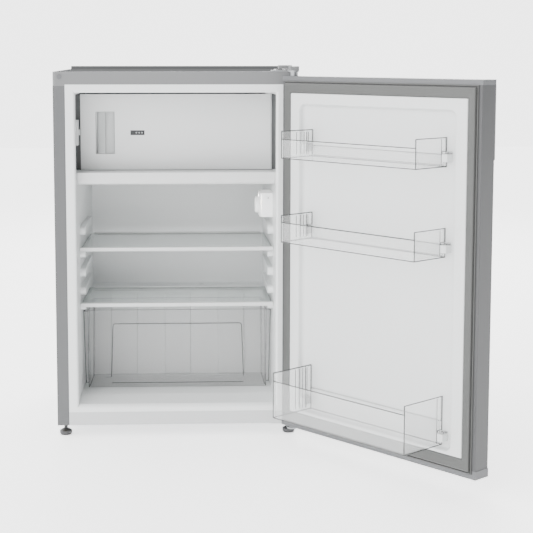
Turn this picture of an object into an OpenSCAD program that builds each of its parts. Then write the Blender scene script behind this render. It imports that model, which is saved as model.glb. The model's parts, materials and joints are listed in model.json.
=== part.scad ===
// Under-counter refrigerator with an ice box, a crisper and three door baskets.
// The origin is on the floor, under the centre of the cabinet. +X is to the right of a person
// facing the door, +Y points to the back, +Z is up.

/* [Cabinet] */
// Width of the cabinet and of the door
body_w = 540; // [480:1:600]
// Height of the cabinet top over the floor
body_h = 822; // [780:1:900]
// Depth of the cabinet without door and condenser
body_d = 450; // [440:1:520]
// Gap between the floor and the cabinet
base_z = 28; // [24:1:34]
// Thickness of the sheet steel
sheet = 1; // [0.6:0.1:1.2]
// Width of the steel edge that folds round to the front
return_w = 26.5; // [20:0.5:30]
// Height of the front top rail
rail_h = 28; // [20:1:34]
// Height of the bottom rail
kick_h = 30; // [24:1:34]

/* [Cavity] */
// Width of the cavity at its mouth
mouth_w = 444; // [420:1:450]
// Height of the cavity floor at its mouth
mouth_z = 69; // [66:1:72]
// Wall taper of the cavity from the mouth to the back, on each side
taper = 8; // [4:1:10]
// Depth of the cavity
cavity_d = 380; // [370:1:390]
// Thickness of the moulded liner
liner_t = 2; // [1.5:0.5:3]
// Height of the hump over the compressor
hump_z = 286; // [280:1:290]

/* [Door] */
// Angle at which the door stands open
door_open = 130; // [0:1:135]
// Thickness of the door without its gasket
door_t = 40; // [36:1:44]
// Gap between the door and the cabinet that the gasket fills
gasket_gap = 8; // [7:0.5:10]
// Distance from the hinge axis to the side of the door
hinge_in = 12; // [11:0.5:14]
// Gap between the door's top edge and the cabinet top
door_drop = 9; // [7:1:12]
// Height of the door's bottom edge over the cabinet's
door_lift = 7; // [6:1:10]
// Radius of the door hinge pins
pin_r = 4; // [3:0.5:5]
// Radial clearance of every pin in its hole
fit = 0.05; // [0.03:0.01:0.09]

/* [Interior] */
// Height of the glass of the middle shelf
shelf_z = 418; // [412:1:424]
// Height of the glass over the crisper
cover_z = 290; // [290:1:292]
// Depth of the glass shelves' front edge behind the mouth
shelf_y = 55; // [50:1:60]
// Thickness of the shelf glass
glass_t = 4; // [3:0.5:5]
// Height of the lower edge of the sill under the ice box door
sill_z = 570; // [562:1:576]
// Depth of the sill's front behind the mouth
sill_y = 28; // [20:1:60]
// Height of the ice box floor
ice_z = 597; // [594:1:600]
// Depth of the ice box door's face behind the mouth
flap_y = 90; // [88:1:94]
// Depth of the crisper's front behind the mouth
crisper_y = 112; // [110:1:116]

/* [Door baskets] */
// Width of the baskets
basket_w = 366; // [350:1:372]
// Depth of the two upper baskets
basket_d = 92; // [80:1:94]
// Depth of the bottle basket
bottle_d = 114; // [100:1:116]
// Heights of the three baskets over the floor, from the top one down
basket_z = [643, 465, 88];

/* [Hidden] */
$fn = 64;

front = -body_d / 2;
half = body_w / 2;
in_half = half - return_w;
mouth = mouth_w / 2;
top_z = body_h - sheet;
rail_z = body_h - rail_h;
kick_z = base_z + kick_h;
ceiling_z = body_h - 46;
back_half = mouth - taper;
floor_z = 84;
foam_front = sheet;
foam_back = body_d - sheet;
niche_wall = 40;
niche_z = hump_z - niche_wall + 4;
hump_y = 242;
hump_top_y = 285;
niche_y = hump_y + niche_wall;
niche_top_y = hump_top_y + niche_wall - 3;
cap_depth = 14;
pocket_half = mouth + 10;
pocket_y = 14;
cap_drop = 31;
gutter = [60, 368];
tube_r = 6;

// Places that follow from the door
door_in = -gasket_gap;
door_out = door_in - door_t;
door_top = body_h - door_drop;
door_bottom = base_z + door_lift;
cap_top_h = 10;
cap_bottom_h = 17;
hinge = [half - hinge_in, door_out + 19];
liner_half = half - 30;
liner_bottom = door_bottom + 38;
liner_top = door_top - 36;
recess_half = liner_half - 29;
recess_bottom = basket_z[2] - 6;
recess_top = liner_top - 25;
recess_y = door_in - 4;
land_y = door_in + 7;
gasket_face = -0.5;
gasket_half = half - 8;
handle_z = [door_top - 154, door_top - cap_top_h];

// Places that follow from the ice box
flap_t = 12;
flap_axis = [mouth - 10, flap_y + flap_t / 2];
flap_left = 5 - mouth;
flap_bottom = ice_z + 1.5;
flap_top = ceiling_z - 6;
flap_mid = (flap_bottom + flap_top) / 2;
grip = [[flap_left + 34, flap_bottom + 35.5], [flap_left + 77.5, flap_top - 39]];
badge = [[flap_left + 113, flap_mid - 7], [flap_left + 145, flap_mid + 4]];
badge_t = 0.5;
ice_y = flap_y + 18;
ice_half = mouth - 13;

foot_x = half - 16;
foot_y = 30;
foot_r = 14;
stud_r = 4;
coil_y = body_d + 24;
coil_r = 2.5;
coil_z = 310;
coil_reach = half - 65;
riser_left = 30 - half;
riser_right = half - 45;
passes = 11;
pitch = 44;
coil_top = coil_z + (passes - 1) * pitch;
wire_r = 0.8;
wire_x = [13 - coil_reach : 12 : coil_reach - 12];
comp = [60, 384];
comp_r = 60;
comp_z = 66;
comp_h = 146;
leg_x = 78;
leg_y = 46;
inlet = [comp[0] - comp_r - 15, comp[1] + 20, 117];

function wall_x(y) = mouth - taper * y / cavity_d;

// ---------- shared shapes ----------

// A box between two corners, with depths counted from the cabinet's front plane
module block(low, high) {
  translate([low[0], front + low[1], low[2]]) cube(high - low);
}

// The same box on both sides of the middle
module both_sides() {
  children();
  mirror([1, 0, 0]) children();
}

// A slab across the cabinet whose side view is a list of [depth, height] points
module side_profile(points, wide) {
  translate([-wide, front, 0]) rotate([90, 0, 90]) linear_extrude(2 * wide) polygon(points);
}

// A standing slab whose half width changes from the front to the back
module plan_taper(y0, half0, y1, half1, z0, z1) {
  translate([0, front, z0]) linear_extrude(z1 - z0)
    polygon([[-half0, y0], [half0, y0], [half1, y1], [-half1, y1]]);
}

// A box with rounded vertical edges
module rounded_box(low, high, r) {
  size = high - low;
  translate([low[0], front + low[1], low[2]]) {
    translate([r, 0, 0]) cube([size[0] - 2 * r, size[1], size[2]]);
    translate([0, r, 0]) cube([size[0], size[1] - 2 * r, size[2]]);
    for (x = [r, size[0] - r], y = [r, size[1] - r]) translate([x, y, 0]) cylinder(r = r, h = size[2]);
  }
}

// A plate that faces the front, with rounded corners, between depths y0 and y1
module face_plate(x0, x1, z0, z1, y0, y1, r) {
  translate([0, front + y1, 0]) rotate([90, 0, 0]) linear_extrude(y1 - y0) {
    translate([x0 + r, z0]) square([x1 - x0 - 2 * r, z1 - z0]);
    translate([x0, z0 + r]) square([x1 - x0, z1 - z0 - 2 * r]);
    for (x = [x0 + r, x1 - r], z = [z0 + r, z1 - r]) translate([x, z]) circle(r);
  }
}

// A bent pipe through a list of [x, depth, z] points
module pipe(points, r) {
  for (i = [0 : len(points) - 2]) {
    step = points[i + 1] - points[i];
    translate([0, front, 0] + points[i])
      rotate([0, acos(step[2] / norm(step)), atan2(step[1], step[0])]) cylinder(r = r, h = norm(step));
  }
  for (i = [1 : len(points) - 2]) translate([0, front, 0] + points[i]) sphere(r + 0.3);
}

// An upright round peg or hole at a depth
module peg(x, y, z0, z1, r) {
  translate([x, front + y, z0]) cylinder(r = r, h = z1 - z0);
}

// A peg or hole along X at a depth and height
module cross_peg(x0, x1, y, z, r) {
  translate([x0, front + y, z]) rotate([0, 90, 0]) cylinder(r = r, h = x1 - x0);
}

// ---------- cabinet ----------

module side_panels() {
  color("#9b9d9f") both_sides() difference() {
    union() {
      block([half - sheet, 0, base_z], [half, body_d, top_z]);
      block([in_half, 0, base_z], [half, sheet, top_z]);
    }
    block([in_half - 1, -1, body_h - cap_drop], [half + 1, cap_depth, body_h]);
  }
}

// The top sheet carries a raised trim along its back edge
module top_panel() {
  trim_d = 38;
  trim_h = 8;
  color("#7d7f81") {
    block([-half, cap_depth, top_z], [half, body_d, body_h]);
    side_profile([
      [body_d - trim_d, body_h], [body_d, body_h], [body_d, body_h + trim_h],
      [body_d - trim_d + trim_h, body_h + trim_h]
    ], half - 6);
  }
}

module top_rail() {
  color("#a6a8aa") block([-in_half, 0, rail_z], [in_half, cap_depth, body_h]);
}

module corner_caps() {
  r = 5;
  color("#a0a2a4") both_sides() difference() {
    union() {
      block([in_half, 0, body_h - cap_drop], [half - r, cap_depth, body_h]);
      block([half - r, r, body_h - cap_drop], [half, cap_depth, body_h]);
      peg(half - r, r, body_h - cap_drop, body_h, r);
    }
    plug_hole(4, 10);
  }
}

// The round recess in a corner cap that its plug fills
module plug_hole(r, deep) {
  translate([half - 15, front - 1, body_h - 11]) rotate([-90, 0, 0]) cylinder(r = r, h = deep + 1);
}

module corner_plugs() {
  color("#8e9092") both_sides() {
    translate([half - 15, front, body_h - 11]) rotate([-90, 0, 0]) cylinder(r = 4, h = 10);
    translate([half - 15, front - 1.2, body_h - 11]) rotate([-90, 0, 0]) cylinder(r = 5.5, h = 1.2);
  }
}

// Side view of the cavity, grown outwards by t
function cavity_points(t) = [
  [-1, mouth_z - t], [6, mouth_z + 6 - t], [60, floor_z - t], [hump_y + t, floor_z - t],
  [hump_top_y + t, hump_z - 2 - t], [hump_top_y + 4 + t, hump_z - t], [cavity_d + t, hump_z - t],
  [cavity_d + t, ceiling_z - 4 + t], [-1, ceiling_z + t]
];

// The space inside the cabinet, grown outwards by t; it is wider beside the ice box
module cavity(t) {
  intersection() {
    side_profile(cavity_points(t), half);
    plan_taper(-1, wall_x(-1) + t, cavity_d + t, wall_x(cavity_d + t) + t, 0, body_h);
  }
  block([-pocket_half - t, pocket_y - t, ice_z + 0.5 - t], [pocket_half + t, 360 + t, flap_top + 1 + t]);
}

// The open space behind and under the hump
module niche() {
  side_profile([
    [niche_y, base_z - 1], [niche_top_y, niche_z], [body_d + 1, niche_z], [body_d + 1, base_z - 1]
  ], half + 1);
}

module cabinet_foam() {
  color("#e8dfb4") difference() {
    block([-(half - sheet), foam_front, base_z + sheet], [half - sheet, foam_back, top_z]);
    cavity(liner_t);
    niche();
    block([-in_half, -1, mouth_z - 12], [in_half, liner_t, rail_z]);
    block([-in_half, -1, rail_z - 1], [in_half, cap_depth, body_h]);
    both_sides() block([in_half - 1, -1, body_h - cap_drop], [half, cap_depth, body_h]);
    block([-in_half, -1, base_z], [in_half, 3, kick_z]);
    both_sides() peg(foot_x, foot_y, base_z, base_z + 20, stud_r + 1);
    peg(gutter[0], gutter[1], niche_z - 1, hump_z, tube_r);
    peg(200, 430, niche_z - 1, niche_z + 30, 4);
    peg(-200, 430, niche_z - 1, niche_z + 30, 3);
  }
}

// Shelf rails of the side walls, each [top, height, front end's depth]
rails = [
  [ice_z - 5, 10, flap_y + 32], [shelf_z + 52, 20, 74], [shelf_z, 20, 74], [shelf_z - 44, 20, 74],
  [cover_z + 40, 18, 74], [cover_z, 12, 74]
];
rail_in = mouth - 14;

// One pair of rails, with round front ends
module rail_pair(top, high, y0) {
  both_sides() {
    block([rail_in, y0 + high / 2, top - high], [mouth, 278, top]);
    cross_peg(rail_in, mouth, y0 + high / 2, top - high / 2, high / 2);
  }
}

module inner_liner() {
  color("#eceff1") difference() {
    union() {
      difference() {
        union() {
          cavity(liner_t);
          block([-in_half, 0, mouth_z - 11], [in_half, liner_t, rail_z]);
        }
        cavity(0);
      }
      intersection() {
        for (r = rails) rail_pair(r[0] - 0.2, r[1], r[2]);
        cavity(liner_t / 2);
      }
    }
    block([-half, -2, 0], [half, 0, body_h]);
    peg(gutter[0], gutter[1], hump_z - 10, hump_z + 10, tube_r);
  }
}

module bottom_rail() {
  color("#d4d6d8") difference() {
    union() {
      block([-in_half, 0, base_z], [in_half, 3, kick_z]);
      block([-in_half, 0, base_z], [in_half, 20, base_z + sheet]);
    }
    both_sides() peg(foot_x, foot_y, base_z - 1, base_z + 20, stud_r + 1);
  }
}

module base_pan() {
  color("#8f9194") difference() {
    block([-(half - sheet), 20, base_z], [half - sheet, niche_y, base_z + sheet]);
    both_sides() peg(foot_x, foot_y, base_z - 1, base_z + 3, stud_r + fit);
  }
}

module back_panel() {
  color("#b9bbbd") block([-(half - sheet), foam_back, niche_z], [half - sheet, body_d, top_z]);
}

// ---------- cooling circuit ----------

module at_grommets() {
  for (x = [-leg_x, leg_x], y = [-leg_y, leg_y]) translate([comp[0] + x, comp[1] + y, 0]) children();
}

module compressor_plate() {
  color("#85878a") difference() {
    union() {
      block([-(half - sheet), niche_y + 2, base_z], [half - sheet, body_d, base_z + 2]);
      block([-(half - sheet), body_d - 2, base_z + 2], [half - sheet, body_d, base_z + 18]);
    }
    at_grommets() peg(0, 0, base_z - 1, base_z + 4, 3.5);
  }
}

module compressor_grommets() {
  color("#2a2a2c") at_grommets() difference() {
    union() {
      peg(0, 0, base_z + 2, 42, 8.5);
      peg(0, 0, 42, 48, 5.5);
    }
    peg(0, 0, base_z, 50, 3.2);
  }
}

module compressor_bolts() {
  color("#c4c6c8") at_grommets() {
    peg(0, 0, base_z - 3, 50, 3);
    peg(0, 0, base_z - 4, base_z, 5.5);
    peg(0, 0, 48, 52, 5.5);
  }
}

// A welded steel shell on a leg plate
module compressor() {
  r = 22;
  color("#26272a") difference() {
    union() {
      translate([comp[0], front + comp[1], comp_z]) rotate_extrude() {
        translate([0, 0]) square([comp_r - r, comp_h]);
        translate([0, r]) square([comp_r, comp_h - 2 * r]);
        translate([comp_r - r, r]) circle(r);
        translate([comp_r - r, comp_h - r]) circle(r);
        translate([0, 84]) square([comp_r + 3, 5]);
      }
      block([comp[0] - leg_x - 14, comp[1] - 58, 42], [comp[0] + leg_x + 14, comp[1] + 58, 45]);
      for (x = [-34, 34]) block([comp[0] + x - 3, comp[1] - 34, 45], [comp[0] + x + 3, comp[1] + 34, 72]);
    }
    at_grommets() peg(0, 0, 40, 47, 5.6);
  }
}

module relay_cover() {
  color("#3a3b3e") difference() {
    block([comp[0] - comp_r - 26, comp[1] - 20, 92], [comp[0] - comp_r + 14, comp[1] + 20, 142]);
    peg(comp[0], comp[1], 60, 240, comp_r + 0.2);
    block(inlet - [9, 2.2, 19], inlet + [9, 1, 19]);
  }
}

// The gland where a mains lead would enter the relay box from the back
module cord_inlet() {
  color("#1d1d1f") difference() {
    union() {
      block(inlet - [9, 2.2, 19], inlet + [9, 0, 19]);
      translate([0, front, 0] + inlet) rotate([-90, 0, 0]) cylinder(r = 8, h = 14);
    }
    translate([0, front + 2, 0] + inlet) rotate([-90, 0, 0]) cylinder(r = 4, h = 13);
  }
}

module evaporation_tray() {
  z0 = comp_z + comp_h;
  color("#3c3e42") difference() {
    block([comp[0] - 78, 330, z0], [comp[0] + 78, 444, z0 + 24]);
    block([comp[0] - 76, 332, z0 + 2], [comp[0] + 76, 442, z0 + 26]);
  }
}

module drain_tube() {
  z0 = comp_z + comp_h + 12;
  color("#d9dcde") difference() {
    peg(gutter[0], gutter[1], z0, hump_z, tube_r);
    peg(gutter[0], gutter[1], z0 - 1, hump_z + 1, tube_r - 1.5);
  }
}

module suction_pipe() {
  color("#b5703c") pipe([
    [comp[0] + comp_r, comp[1], 140], [200, comp[1], 140], [200, 430, 140], [200, 430, niche_z + 30]
  ], 4);
}

module discharge_pipe() {
  color("#b5703c") pipe([
    [comp[0] + comp_r, comp[1], 100], [riser_right, comp[1], 100], [riser_right, coil_y, 100],
    [riser_right, coil_y, coil_z + coil_r]
  ], coil_r);
}

module filter_drier() {
  color("#b5703c") {
    peg(-200, 430, 96, 190, 9);
    translate([-200, front + 430, 190]) cylinder(r1 = 9, r2 = 3, h = 14);
    translate([-200, front + 430, 82]) cylinder(r1 = 3, r2 = 9, h = 14);
    peg(-200, 430, 200, niche_z + 30, 3);
    pipe([[-200, 430, 84], [-200, 430, 70], [riser_left, 430, 70], [riser_left, coil_y, 70],
      [riser_left, coil_y, coil_top + coil_r]], coil_r);
  }
}

// A serpentine of straight passes joined by half rings
module condenser_coil() {
  color("#1f2022") {
    for (i = [0 : passes - 1]) {
      right = i == 0 ? riser_right - coil_r : coil_reach;
      left = i == passes - 1 ? -riser_left - coil_r : coil_reach;
      translate([-left, front + coil_y, coil_z + i * pitch]) rotate([0, 90, 0])
        cylinder(r = coil_r, h = left + right);
    }
    for (i = [0 : passes - 2]) {
      side = i % 2 == 0 ? -1 : 1;
      translate([side * coil_reach, front + coil_y, coil_z + (i + 0.5) * pitch]) rotate([90, 0, 0])
        rotate([0, 0, -90 * side]) rotate_extrude(angle = 180) translate([pitch / 2, 0]) circle(coil_r);
    }
  }
}

module condenser_wires() {
  color("#1f2022") for (x = wire_x, side = [-1, 1])
    peg(x, coil_y + side * (coil_r + wire_r - 0.1), coil_z - 10, coil_top + 10, wire_r);
}

module condenser_brackets() {
  color("#2c2d30") for (x = [-150, 150], z = [coil_z, coil_top]) difference() {
    block([x - 9, body_d, z - 12], [x + 9, coil_y + 8, z + 12]);
    translate([x - 20, front + coil_y, z]) rotate([0, 90, 0]) cylinder(r = coil_r + fit, h = 40);
    block([x - 10, coil_y - 6, z - 13], [x + 10, coil_y - 2, z - 6]);
    block([x - 8.4, body_d + 3, z - 13], [x + 8.4, coil_y - 7, z + 13]);
    for (wx = wire_x, side = [-1, 1])
      peg(wx, coil_y + side * (coil_r + wire_r - 0.1), coil_z - 20, coil_top + 20, wire_r + 0.4);
  }
}

// ---------- feet ----------

module rear_feet() {
  color("#1e1e20") both_sides() peg(half - 35, body_d - 25, 0, base_z, foot_r);
}

module levelling_foot() {
  color("#1b1b1d") {
    peg(foot_x, foot_y, 0, 3, foot_r - 1.5);
    peg(foot_x, foot_y, 3, 9, foot_r);
    translate([foot_x, front + foot_y, 9]) cylinder(r1 = foot_r, r2 = 8, h = 4);
    peg(foot_x, foot_y, 13, base_z + 18, stud_r);
  }
}

module left_foot() { mirror([1, 0, 0]) levelling_foot(); }

module right_foot() { levelling_foot(); }

// ---------- ice box ----------

module ice_box() {
  t = 2.5;
  ice_back = cavity_d - 8;
  ice_top = flap_top - 6;
  color("#dfe3e6") difference() {
    block([-ice_half, ice_y, ice_z], [ice_half, ice_back, ice_top]);
    block([-(ice_half - t), ice_y - 1, ice_z + t], [ice_half - t, ice_back - t, ice_top - t]);
  }
}

// The drip sill under the ice box, with a round lower front edge
module freezer_sill() {
  r = 10;
  color("#cfd3d5") difference() {
    intersection() {
      union() {
        block([-half, sill_y, ice_z - 5], [half, 370, ice_z]);
        block([-half, sill_y, sill_z + r], [half, sill_y + 2 * r, ice_z - 5]);
        cross_peg(-half, half, sill_y + r, sill_z + r, r);
      }
      plan_taper(sill_y, wall_x(sill_y) - 0.5, 370, wall_x(370) - 0.5, 500, 700);
    }
    lower_clip();
  }
}

// The block at the right end of the sill that holds the flap's lower pin
module lower_clip() {
  block([flap_axis[0] - 16, sill_y - 3, ice_z - 9], [half, flap_y + 15, ice_z]);
}

// The hinge side of the flap is round about its pin, so that it turns beside the wall
module flap_outline(y0, y1) {
  intersection() {
    union() {
      block([flap_left, flap_y, flap_bottom], [flap_axis[0], flap_y + flap_t, flap_top]);
      peg(flap_axis[0], flap_axis[1], flap_bottom, flap_top, flap_t / 2);
    }
    block([-half, y0, 0], [half, y1, body_h]);
  }
}

module flap_shell() {
  color("#f2f4f5") {
    difference() {
      flap_outline(flap_y, flap_y + 9);
      block([flap_left + 3, flap_y + 2.5, flap_bottom + 3], [flap_axis[0] - 8, flap_y + 10, flap_top - 3]);
      block([grip[0][0], flap_y - 1, grip[0][1]], [grip[1][0], flap_y + 10, grip[1][1]]);
      block([badge[0][0], flap_y - 1, badge[0][1]], [badge[1][0], flap_y + badge_t, badge[1][1]]);
    }
    difference() {
      flap_pins();
      block([-half, flap_y + 9, 0], [half, flap_y + 20, body_h]);
    }
  }
}

module flap_pins() {
  peg(flap_axis[0], flap_axis[1], flap_bottom - 4, flap_bottom, 2.5);
  peg(flap_axis[0], flap_axis[1], flap_top, flap_top + 3.5, 2.5);
}

module flap_back() {
  color("#e9ebec") flap_outline(flap_y + 9, flap_y + flap_t);
}

module flap_insulation() {
  color("#ffffff") difference() {
    block([flap_left + 3, flap_y + 2.5, flap_bottom + 3], [flap_axis[0] - 8, flap_y + 9, flap_top - 3]);
    block([grip[0][0], flap_y, grip[0][1]], [grip[1][0], flap_y + 10, grip[1][1]]);
  }
}

// The finger cup set into the flap
module flap_grip() {
  t = 1.5;
  mid = grip[0][0] + 22;
  color("#c9cdd0") difference() {
    block([grip[0][0], flap_y, grip[0][1]], [grip[1][0], flap_y + 9, grip[1][1]]);
    block([mid, flap_y - 1, grip[0][1] + t], [grip[1][0] - t, flap_y + 9 - t, grip[1][1] - t]);
    translate([mid, front + flap_y, 0]) rotate([0, 0, -20]) translate([-30, -6, grip[0][1] + t])
      cube([30, 6, grip[1][1] - grip[0][1] - 2 * t]);
  }
}

module flap_badge() {
  color("#2b2e33") block([badge[0][0], flap_y, badge[0][1]], [badge[1][0], flap_y + badge_t, badge[1][1]]);
}

// Clips above and below that hold the flap's pins
module flap_clips() {
  color("#f2f4f5") intersection() {
    difference() {
      union() {
        lower_clip();
        block([flap_axis[0] - 9, flap_y - 2, flap_top + 1], [half, flap_y + 14, body_h]);
      }
      peg(flap_axis[0], flap_axis[1], ice_z - 4, body_h, 2.5 + fit);
    }
    cavity(0);
  }
}

module flap_catch() {
  color("#f4f6f7") intersection() {
    union() {
      block([-half, flap_y - 34, flap_mid - 28], [flap_left - 3.5, flap_y - 3, flap_mid + 28]);
      block([-half, flap_y - 10, flap_mid - 6], [flap_left - 0.5, flap_y - 3, flap_mid + 6]);
    }
    cavity(0);
  }
}

// ---------- thermostat and lamp ----------

stat = [[mouth - 31, 92, 488], [mouth, 170, 543]];
dial = [stat[0][0], 114, 515];
dial_r = 19;
lens = [[138, 496], [164, 535]];
switch = [mouth - 12, 532];

module thermostat_housing() {
  wall = 2.5;
  color("#f6f7f7") intersection() {
    cavity(0);
    difference() {
      rounded_box(stat[0], stat[1] + [20, 0, 0], 12);
      block(stat[0] + [wall, wall, wall], [half, stat[1][1] - wall, stat[1][2] - wall]);
      block([dial[0] - 1, lens[0][0], lens[0][1]], [dial[0] + 5, lens[1][0], lens[1][1]]);
      cross_peg(dial[0] - 1, dial[0] + 5, dial[1], dial[2], 3 + fit);
      translate([switch[0], front + 80, switch[1]]) rotate([-90, 0, 0]) cylinder(r = 2.4 + fit, h = 20);
    }
  }
}

module lamp_lens() {
  color("#ffffff") block([dial[0], lens[0][0], lens[0][1]], [dial[0] + 2.5, lens[1][0], lens[1][1]]);
}

module lamp_bulb() {
  color("#fff3cf") {
    cross_peg(mouth - 25, mouth - 14, 148, dial[2], 8);
    cross_peg(mouth - 14, mouth - 7, 148, dial[2], 6);
  }
}

// The dial turns on a spindle that goes into the housing
module thermostat_knob() {
  color("#e3e5e6") {
    cross_peg(dial[0] - 2, dial[0] + 8, dial[1], dial[2], 3);
    difference() {
      cross_peg(dial[0] - 10, dial[0] - 0.4, dial[1], dial[2], dial_r);
      translate([dial[0] - 10.5, front + dial[1] - 0.8, dial[2] + 8]) cube([1.5, 1.6, 9]);
    }
  }
}

module door_switch() {
  color("#fafafa") translate([switch[0], front + 88.5, switch[1]]) rotate([-90, 0, 0])
    cylinder(r = 2.4, h = 12);
}

// ---------- shelves and crisper ----------

// A glass plate with its front and back trims; y0 and y1 are the trims' outer edges
module glass_plate(z, y0, y1) {
  color("#dfeeee", 0.35) plan_taper(y0 + 3, wall_x(y0) - 2, y1 - 3, wall_x(y1) - 1.5, z, z + glass_t);
}

module glass_trims(z, y0, y1) {
  deep = 12;
  lip = 2;
  color("#eef1f2") difference() {
    union() {
      plan_taper(y0, wall_x(y0) - 1.5, y0 + deep, wall_x(y0 + deep) - 1.5, z - lip, z + glass_t + lip);
      plan_taper(y1 - deep + 4, rail_in - 4, y1, rail_in - 4, z - lip, z + glass_t + lip);
    }
    plan_taper(y0 + 3, half, y1 - 3, half, z, z + glass_t);
  }
}

shelf_back = 326;
cover_back = 283;

module shelf_glass() { glass_plate(shelf_z, shelf_y, shelf_back); }

module shelf_trim() { glass_trims(shelf_z, shelf_y, shelf_back); }

module cover_glass() { glass_plate(cover_z, shelf_y, cover_back); }

module cover_trim() { glass_trims(cover_z, shelf_y, cover_back); }

crisper_half = mouth - 15;

// Side view of the crisper drawer, shrunk by t
function crisper_points(t) = [
  [crisper_y + 5 + t, floor_z + 2 + t], [236 - t, floor_z + 2 + t], [266 - t, 262], [266 - t, 300],
  [crisper_y + t, 300], [crisper_y + t, 262]
];

module crisper_drawer() {
  t = 2.5;
  h = 270;
  color("#e8f0f2", 0.4) {
    difference() {
      intersection() {
        side_profile(crisper_points(0), half);
        plan_taper(crisper_y, crisper_half, 266, crisper_half - 3, 0, h);
      }
      intersection() {
        side_profile(crisper_points(t), half);
        plan_taper(crisper_y, crisper_half - t, 266, crisper_half - 3 - t, 0, h + 10);
      }
    }
    difference() {
      plan_taper(crisper_y, crisper_half + 8, 250, crisper_half + 5, h - 3, h);
      plan_taper(crisper_y - 2, crisper_half - 2, 270, crisper_half - 5, h - 5, h + 2);
    }
    both_sides() translate([crisper_half - 1, front + crisper_y + t, 98]) rotate([90, 0, 0])
      linear_extrude(t) polygon([[0, 0], [7, 0], [11, h - 98], [0, h - 98]]);
  }
}

// ---------- door hinges ----------

module hinge_arm(z0, z1) {
  peg(hinge[0], hinge[1], z0, z1, 11.5);
  block([hinge[0] - 11.5, hinge[1], z0], [hinge[0] + 11.5, 44, z1]);
  block([hinge[0] - 46, 8, z0], [hinge[0] + 11.5, 44, z1]);
}

module top_hinge() {
  color("#6f7275") difference() {
    union() {
      hinge_arm(body_h, body_h + 3);
      peg(hinge[0], hinge[1], door_top - 18, body_h, pin_r);
      peg(hinge[0], hinge[1], door_top + 0.5, body_h, 8);
    }
    screw_holes(body_h - 1, body_h + 4);
  }
}

module screw_holes(z0, z1) {
  for (x = [-36, -14]) peg(hinge[0] + x, 26, z0, z1, 2.6);
}

module hinge_cover() {
  z0 = body_h + 3;
  color("#5f6164") block([hinge[0] - 30, 0, z0 + 3], [hinge[0] - 2, 48, z0 + 11]);
  color("#c2c4c5") rounded_box([hinge[0] - 11, hinge[1] - 11, z0], [hinge[0] + 11, 14, z0 + 9], 4);
}

module bottom_hinge() {
  color("#6f7275") difference() {
    union() {
      hinge_arm(base_z - 3, base_z);
      peg(hinge[0], hinge[1], base_z, door_bottom + 18, pin_r);
      peg(hinge[0], hinge[1], base_z, door_bottom - 0.5, 8);
    }
    screw_holes(base_z - 4, base_z + 1);
    peg(foot_x, foot_y, base_z - 4, base_z + 1, stud_r + fit);
  }
}

module hinge_screws() {
  color("#b4b6b8") for (x = [-36, -14]) {
    peg(hinge[0] + x, 26, body_h + 3, body_h + 5.5, 4.5);
    peg(hinge[0] + x, 26, body_h, body_h + 3, 2.5);
    peg(hinge[0] + x, 26, base_z - 5.5, base_z - 3, 4.5);
    peg(hinge[0] + x, 26, base_z - 3, base_z, 2.5);
  }
}

// ---------- door, modelled shut and then swung open about its hinge ----------

module swung() {
  axis = [hinge[0], front + hinge[1], 0];
  translate(axis) rotate([0, 0, door_open]) translate(-axis) children();
}

module pin_pocket(r, up) {
  if (up) peg(hinge[0], hinge[1], door_top - 20, door_top + 1, r);
  else peg(hinge[0], hinge[1], door_bottom - 1, door_bottom + 20, r);
}

module door_skin() {
  z0 = door_bottom + cap_bottom_h;
  z1 = door_top - cap_top_h;
  lip = 16;
  color("#97999b") swung() {
    block([-half, door_out, z0], [half, door_out + sheet, z1]);
    both_sides() {
      block([half - sheet, door_out, z0], [half, door_in, z1]);
      block([half - lip, door_in - sheet, z0], [half, door_in, z1]);
    }
  }
}

module door_caps() {
  proud = 0.8;
  color("#8b8d90") swung() difference() {
    for (z = [[door_bottom, door_bottom + cap_bottom_h], [door_top - cap_top_h, door_top]])
      block([-half - proud, door_out - proud, z[0]], [half + proud, door_in, z[1]]);
    pin_pocket(pin_r + fit, true);
    pin_pocket(pin_r + fit, false);
  }
}

// A plate on the door's free side with a lip that fingers go behind
module door_handle() {
  color("#9fa1a3") swung() translate([-half, front + door_out, handle_z[0]])
    linear_extrude(handle_z[1] - handle_z[0]) polygon([
      [0, 0], [0, -2.4], [14, -8], [34, -24], [38, -24], [38, -20], [18, -4], [46, -3], [46, 0]
    ]);
}

module door_foam() {
  z0 = door_bottom + cap_bottom_h;
  z1 = door_top - cap_top_h;
  color("#e8dfb4") swung() difference() {
    block([-(half - sheet), door_out + sheet, z0], [half - sheet, door_in - sheet, z1]);
    block([-(recess_half + liner_t), recess_y - liner_t, recess_bottom - liner_t],
      [recess_half + liner_t, 0, recess_top + liner_t]);
    pin_pocket(pin_r + 1, true);
    pin_pocket(pin_r + 1, false);
  }
}

// Lugs that carry a basket whose floor is at height z
module basket_lugs(z) {
  both_sides() block([basket_w / 2 + 2, recess_y, z + 10], [basket_w / 2 + 16, land_y + 4, z + 26]);
}

module door_liner() {
  color("#f0f2f3") swung() {
    difference() {
      union() {
        face_plate(-liner_half, liner_half, liner_bottom, liner_top, door_in - sheet, land_y, 6);
        block([-(recess_half + liner_t), recess_y - liner_t, recess_bottom - liner_t],
          [recess_half + liner_t, door_in, recess_top + liner_t]);
      }
      block([-recess_half, recess_y, recess_bottom], [recess_half, 10, recess_top]);
    }
    for (z = basket_z) basket_lugs(z);
  }
}

module gasket_ring(x0, z0, x1, z1, y0, y1) {
  difference() {
    block([-x1, y0, z0[0]], [x1, y1, z1[0]]);
    block([-x0, y0 - 1, z0[1]], [x0, y1 + 1, z1[1]]);
  }
}

module door_gasket() {
  z0 = door_bottom + 10;
  z1 = door_top - 10;
  color("#a9aca9") swung() difference() {
    gasket_ring(liner_half, [z0, liner_bottom], gasket_half, [z1, liner_top], door_in, gasket_face);
    magnet_ring();
  }
}

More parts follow.
